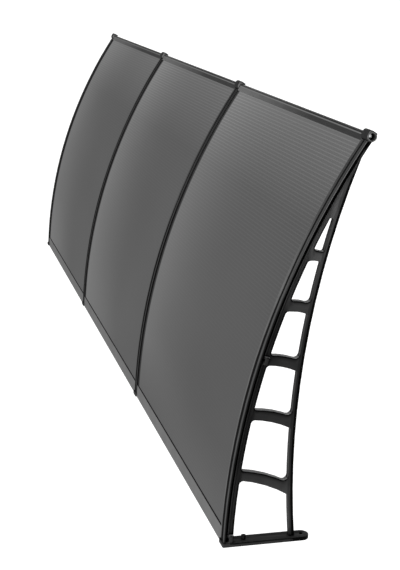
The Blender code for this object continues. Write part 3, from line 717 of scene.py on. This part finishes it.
def fluted_sheet(name, middle):
    """A roof sheet with shallow flutes along both faces, notched at the front for the cups."""
    start = math.asin((SHEET_START + ARC_BEHIND_WALL) / SHEET_RADIUS)
    end = SCREW_ANGLE - SHEET_END_TO_SCREW / SHEET_RADIUS
    notch = (CUP_RADIUS + 2 * FIT - SHEET_END_TO_SCREW) / SHEET_RADIUS
    half = (BAY_PITCH - RIB_WIDTH - 4 * FIT) / 2
    inner = (BAY_PITCH - BRACKET_WIDTH) / 2 - FIT
    columns = [-half, -inner, inner, half]
    profile = len(FLUTE_PROFILE)
    count = round((end - start) * SHEET_RADIUS / FLUTE_PITCH * profile)
    angles = [start + (end - start) * i / count for i in range(count + 1)]
    last = sum(1 for a in angles if a <= end - notch) - 1
    bm = bmesh.new()
    uv = bm.loops.layers.uv.new("flutes")
    grid = {}
    place = {}
    for side in ("top", "under"):
        for i, angle in enumerate(angles):
            dip = FLUTE_DEPTH * FLUTE_PROFILE[i % profile]
            radius = SHEET_RADIUS - dip if side == "top" else SHEET_RADIUS - SHEET_THICKNESS + dip
            y, z = roof_point(angle, radius)
            for j, x in enumerate(columns):
                vertex = bm.verts.new((middle + x, y, z))
                grid[side, i, j] = vertex
                place[vertex] = (x, i / profile)
    cells = {(i, j) for i in range(count) for j in range(3) if j == 1 or i < last}

    def face(upper, lower=()):
        vertices = [grid["top", *corner] for corner in upper]
        vertices += [grid["under", *corner] for corner in lower]
        for loop in bm.faces.new(vertices).loops:
            loop[uv].uv = place[loop.vert]

    for i, j in cells:
        face([(i, j), (i + 1, j), (i + 1, j + 1), (i, j + 1)])
        face([], [(i, j), (i, j + 1), (i + 1, j + 1), (i + 1, j)])
        walls = (
            ((i, j - 1), (i, j), (i + 1, j)),
            ((i, j + 1), (i + 1, j + 1), (i, j + 1)),
            ((i - 1, j), (i, j + 1), (i, j)),
            ((i + 1, j), (i + 1, j), (i + 1, j + 1)),
        )
        for neighbour, a, b in walls:
            if neighbour not in cells:
                face([b, a], [a, b])
    bmesh.ops.delete(bm, geom=[v for v in bm.verts if not v.link_faces], context="VERTS")
    return finished(name, bm)


def swept_bead(name, section, x_low, x_high, steps):
    """A bead along x, its section given as (out, height above the sheet), closed at both ends."""
    bm = bmesh.new()
    rings = []
    for k in range(steps + 1):
        x = x_low + (x_high - x_low) * k / steps
        ring = []
        for out, up in section:
            radius = SHEET_RADIUS + up
            y, z = roof_point(math.asin((out + ARC_BEHIND_WALL) / radius), radius)
            ring.append(bm.verts.new((x, y, z)))
        rings.append(ring)
    count = len(section)
    for first, second in zip(rings, rings[1:]):
        for i in range(count):
            j = (i + 1) % count
            bm.faces.new((first[i], first[j], second[j], second[i]))
    bm.faces.new(rings[0])
    bm.faces.new(rings[-1])
    return finished(name, bm)


def cross_depth(y, z):
    """How deep the driver's cross is sunk at this place on a screw's head."""
    across, along = sorted((abs(y), abs(z)))
    if across > CROSS_HALF_WIDTH or along > CROSS_REACH:
        return 0.0
    shallower = 1 - CROSS_RISE * along / CROSS_REACH
    wall = min(1.0, CROSS_WALL * (1 - across / CROSS_HALF_WIDTH))
    return CROSS_DEPTH * shallower * wall


def turned_bead(name, profile, turns, place, outward):
    """A body turned about x: (radius, reach) points from its outer middle to its inner end."""
    bm = bmesh.new()
    rings = []
    for radius, reach in profile:
        ring = []
        for k in range(turns if radius else 1):
            angle = 2 * math.pi * k / turns
            y, z = radius * math.cos(angle), radius * math.sin(angle)
            sunk = cross_depth(y, z) if reach > 0 else 0.0
            x = place[0] + outward * (reach - sunk)
            ring.append(bm.verts.new((x, place[1] + y, place[2] + z)))
        rings.append(ring)
    for one, two in zip(rings, rings[1:]):
        for k in range(turns):
            j = (k + 1) % turns
            corners = [one[k % len(one)], one[j % len(one)], two[j % len(two)], two[k % len(two)]]
            bm.faces.new(list(dict.fromkeys(corners)))
    bmesh.ops.recalc_face_normals(bm, faces=bm.faces)
    for edge in bm.edges:
        edge.smooth = edge.calc_face_angle(0.0) < math.radians(SCREW_CREASE)
    for f in bm.faces:
        f.smooth = True
    return linked(name, bm)


def build_end_screws(material):
    """Pan-head screws, in the places and lengths of the CAD's own."""
    radius, height, rings = SCREW_HEAD_RADIUS, SCREW_HEAD_HEIGHT, SCREW_HEAD_RINGS
    head = [(radius * k / rings, height * (1 - SCREW_HEAD_FALL * (k / rings) ** 3))
            for k in range(rings - 1)]
    head += [(radius * across, height * up) for across, up in SCREW_HEAD_EDGE]
    for index in (1, 4):
        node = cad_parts[f"end_screw_{index}"]
        corners = [node.matrix_world @ Vector(corner) for corner in node.bound_box]
        low = Vector([min(c[k] for c in corners) for k in range(3)])
        high = Vector([max(c[k] for c in corners) for k in range(3)])
        outward = -1 if index == 1 else 1
        face, inside = (low.x, high.x) if index == 1 else (high.x, low.x)
        place = (face - outward * height, (low.y + high.y) / 2, (low.z + high.z) / 2)
        length = abs(inside - place[0])
        shank = [(SCREW_SHANK, 0.0), (SCREW_SHANK, SCREW_SHANK - length)]
        shank += [(SCREW_SHANK * SCREW_POINT, -length), (0.0, -length)]
        item = turned_bead(f"pan_screw_{index}", head + shank, SCREW_TURNS, place, outward)
        item.data.materials.append(material)
        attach(item, "root")
        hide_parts(f"end_screw_{index}")


def build_sheets(material):
    for index in range(BAYS):
        item = fluted_sheet(f"fluted_sheet_{index + 1}", bay_middle(index))
        item.data.materials.append(material)
        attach(item, "root")
        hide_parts(f"sheet_{index + 1}")


def build_seals(material):
    """The black rubber bead in the corner between the wall rail's lip and each sheet, near black so
    that it also gives the joint's painted shade line.
    """
    arc = [math.radians(a) for a in range(0, 181, SEAL_ARC_STEP)]
    middle = WALL_RAIL_REACH + FIT / 2 + SEAL_WIDTH / 2
    section = [(middle + SEAL_WIDTH / 2 * math.cos(a), SEAL_HEIGHT * math.sin(a)) for a in arc]
    half = (BAY_PITCH - BRACKET_WIDTH) / 2 - 2 * FIT
    for index in range(BAYS):
        x = bay_middle(index)
        item = swept_bead(f"rail_seal_{index + 1}", section, x - half, x + half, SEAL_STEPS)
        item.data.materials.append(material)
        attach(item, "root")


def dress(prefixes, material, smoothing):
    """The material and the smoothing on every CAD node whose name starts so."""
    for name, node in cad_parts.items():
        if name.startswith(prefixes):
            for slot in node.material_slots:
                slot.link = "OBJECT"
                slot.material = material
            modifier = node.modifiers.new("smooth_curves", "NODES")
            modifier.node_group = smoothing


# Studio

FLOOR_Z = -2.3
FLOOR_HALF_SIZE = 150.0
FLOOR_COLOUR = 0.88
FLOOR_GLOW = 0.55
FLOOR_BOUNCE = 0.12
FLOOR_ROUGHNESS = 0.9
FLOOR_SPECULAR = 0.1
WORLD_SOFT = 0.24
WORLD_LEAST = 0.03
WORLD_FALL = (0.0, 0.0, 0.30)
HORIZON_SPAN = (0.05, 0.3)
HORIZON_GLOW = 0.5
FAR_END_SPAN = (0.2, 0.75)
SUN_STRENGTH = 0.9
SUN_ANGLE = 60
SUN_DIRECTION = (0.2, -0.2, -1.0)
# Each lamp's place, target, size and power
LAMPS = {
    "key": ((-3.4, 2.2, 2.9), (-0.4, -0.45, -0.1), (2.4, 2.4), 90.0),
    "front": ((-0.8, -2.4, 2.4), (-0.5, -0.9, -0.2), (5.0, 0.8), 62.0),
    "low": ((-1.8, -3.5, -0.7), (-1.4, -0.4, -0.15), (1.6, 0.8), 26.0),
}


def floor_material():
    """Nearly white to the camera and in reflections, dim in the light it throws on the object."""
    material, tree, shader = new_material("studio_floor")
    out = next(n for n in tree.nodes if n.type == "OUTPUT_MATERIAL")
    shader.inputs["Roughness"].default_value = FLOOR_ROUGHNESS
    shader.inputs["Specular IOR Level"].default_value = FLOOR_SPECULAR
    path = add_node(tree, "ShaderNodeLightPath").outputs
    rays = [path[kind] for kind in ("Is Camera Ray", "Is Glossy Ray", "Is Transmission Ray")]
    seen = total(tree, *rays, clamp=True)
    base = mixed(tree, seen, grey(FLOOR_BOUNCE), grey(FLOOR_COLOUR))
    tree.links.new(base, shader.inputs["Base Color"])
    strength = product(tree, seen, FLOOR_GLOW)
    glow = add_node(tree, "ShaderNodeEmission", {"Color": grey(1.0), "Strength": strength})
    both = add_node(tree, "ShaderNodeAddShader", {0: shader.outputs[0], 1: glow.outputs[0]})
    tree.links.new(both.outputs[0], out.inputs[0])
    return material


def build_floor():
    bm = bmesh.new()
    bmesh.ops.create_grid(bm, x_segments=1, y_segments=1, size=FLOOR_HALF_SIZE)
    floor = linked("floor", bm)
    floor.location.z = FLOOR_Z
    floor.data.materials.append(floor_material())


def build_world():
    """A soft room: paler overhead and near the horizon, dim beyond the canopy's far end."""
    world = bpy.data.worlds.new("studio")
    bpy.context.scene.world = world
    world.use_nodes = True
    tree = world.node_tree
    background = next(n for n in tree.nodes if n.type == "BACKGROUND")
    direction = add_node(tree, "ShaderNodeTexCoord").outputs["Generated"]
    soft = total(tree, dot(tree, direction, WORLD_FALL), WORLD_SOFT)
    soft = maths(tree, "MAXIMUM", soft, WORLD_LEAST)
    x, _, z = parts(tree, direction)
    band = spread(tree, magnitude(tree, z), HORIZON_SPAN, (HORIZON_GLOW, 0.0))
    light = total(tree, soft, product(tree, band, spread(tree, x, FAR_END_SPAN, FALL)))
    background.inputs["Color"].default_value = grey(1.0)
    tree.links.new(light, background.inputs["Strength"])


def aimed(name, data, direction):
    """A lamp that shines in this direction."""
    lamp = bpy.data.objects.new(name, data)
    lamp.rotation_euler = direction.to_track_quat("-Z", "Y").to_euler()
    bpy.context.scene.collection.objects.link(lamp)
    return lamp


def build_lamps():
    sun = bpy.data.lights.new("sun", "SUN")
    sun.energy = SUN_STRENGTH
    sun.angle = math.radians(SUN_ANGLE)
    aimed("sun", sun, Vector(SUN_DIRECTION))
    for name, (place, target, size, power) in LAMPS.items():
        data = bpy.data.lights.new(name, "AREA")
        data.shape = "RECTANGLE"
        data.size, data.size_y = size
        data.energy = power
        aimed(name, data, Vector(target) - Vector(place)).location = place


def build_camera():
    data = bpy.data.cameras.new("photo_camera")
    data.sensor_fit = "VERTICAL"
    data.sensor_height = SENSOR
    data.lens = FOCAL_PX * SENSOR / IMAGE_HEIGHT_PX
    data.clip_end = CAMERA_REACH
    camera = bpy.data.objects.new("photo_camera", data)
    camera.location = CAMERA_PLACE
    camera.rotation_euler = [math.radians(a) for a in CAMERA_TURN]
    bpy.context.scene.collection.objects.link(camera)
    bpy.context.scene.camera = camera


rounded = smoothing_nodes(degrees=50)
crisp = smoothing_nodes(degrees=30)
moulded = plastic("moulded_black", level=0.036, roughness=0.42, specular=0.02,
                  worn=1.5, corner=0.009, painted_light=bracket_painted_light)
dress("bracket", moulded, rounded)
grooved = plastic("strip_black", level=0.031, roughness=0.38, specular=0.08,
                  worn=1.6, painted_light=strip_painted_light)
dress("cover_strip", grooved, crisp)
front_coat = coated_metal("front_rail_coat", level=0.020, roughness=0.40, metallic=0.0,
                          specular=0.1, far_painted_sheen=5.0)
dress("front_rail", front_coat, crisp)
wall_coat = coated_metal("wall_rail_coat", level=0.138, roughness=0.40, metallic=0.3)
dress("wall_rail", wall_coat, crisp)
zinc = coated_metal("zinc_plate", level=0.97, roughness=0.24, metallic=1.0,
                    tint=(0.98, 0.99, 1.0))
dress(("strip_stud", "strip_nut"), zinc, crisp)
build_end_screws(zinc)
build_sheets(smoked_sheet("smoked_twin_wall", level=0.051))
# Rubber made near black, as painted shade along the wall rail's joint
rubber = plastic("seal_rubber", level=0.003, roughness=0.7, specular=0.03,
                 grain=0.00001, worn=1.3)
build_seals(rubber)
build_floor()
build_world()
build_lamps()
build_camera()
bpy.context.scene.view_settings.view_transform = "Standard"

bpy.context.view_layer.update()
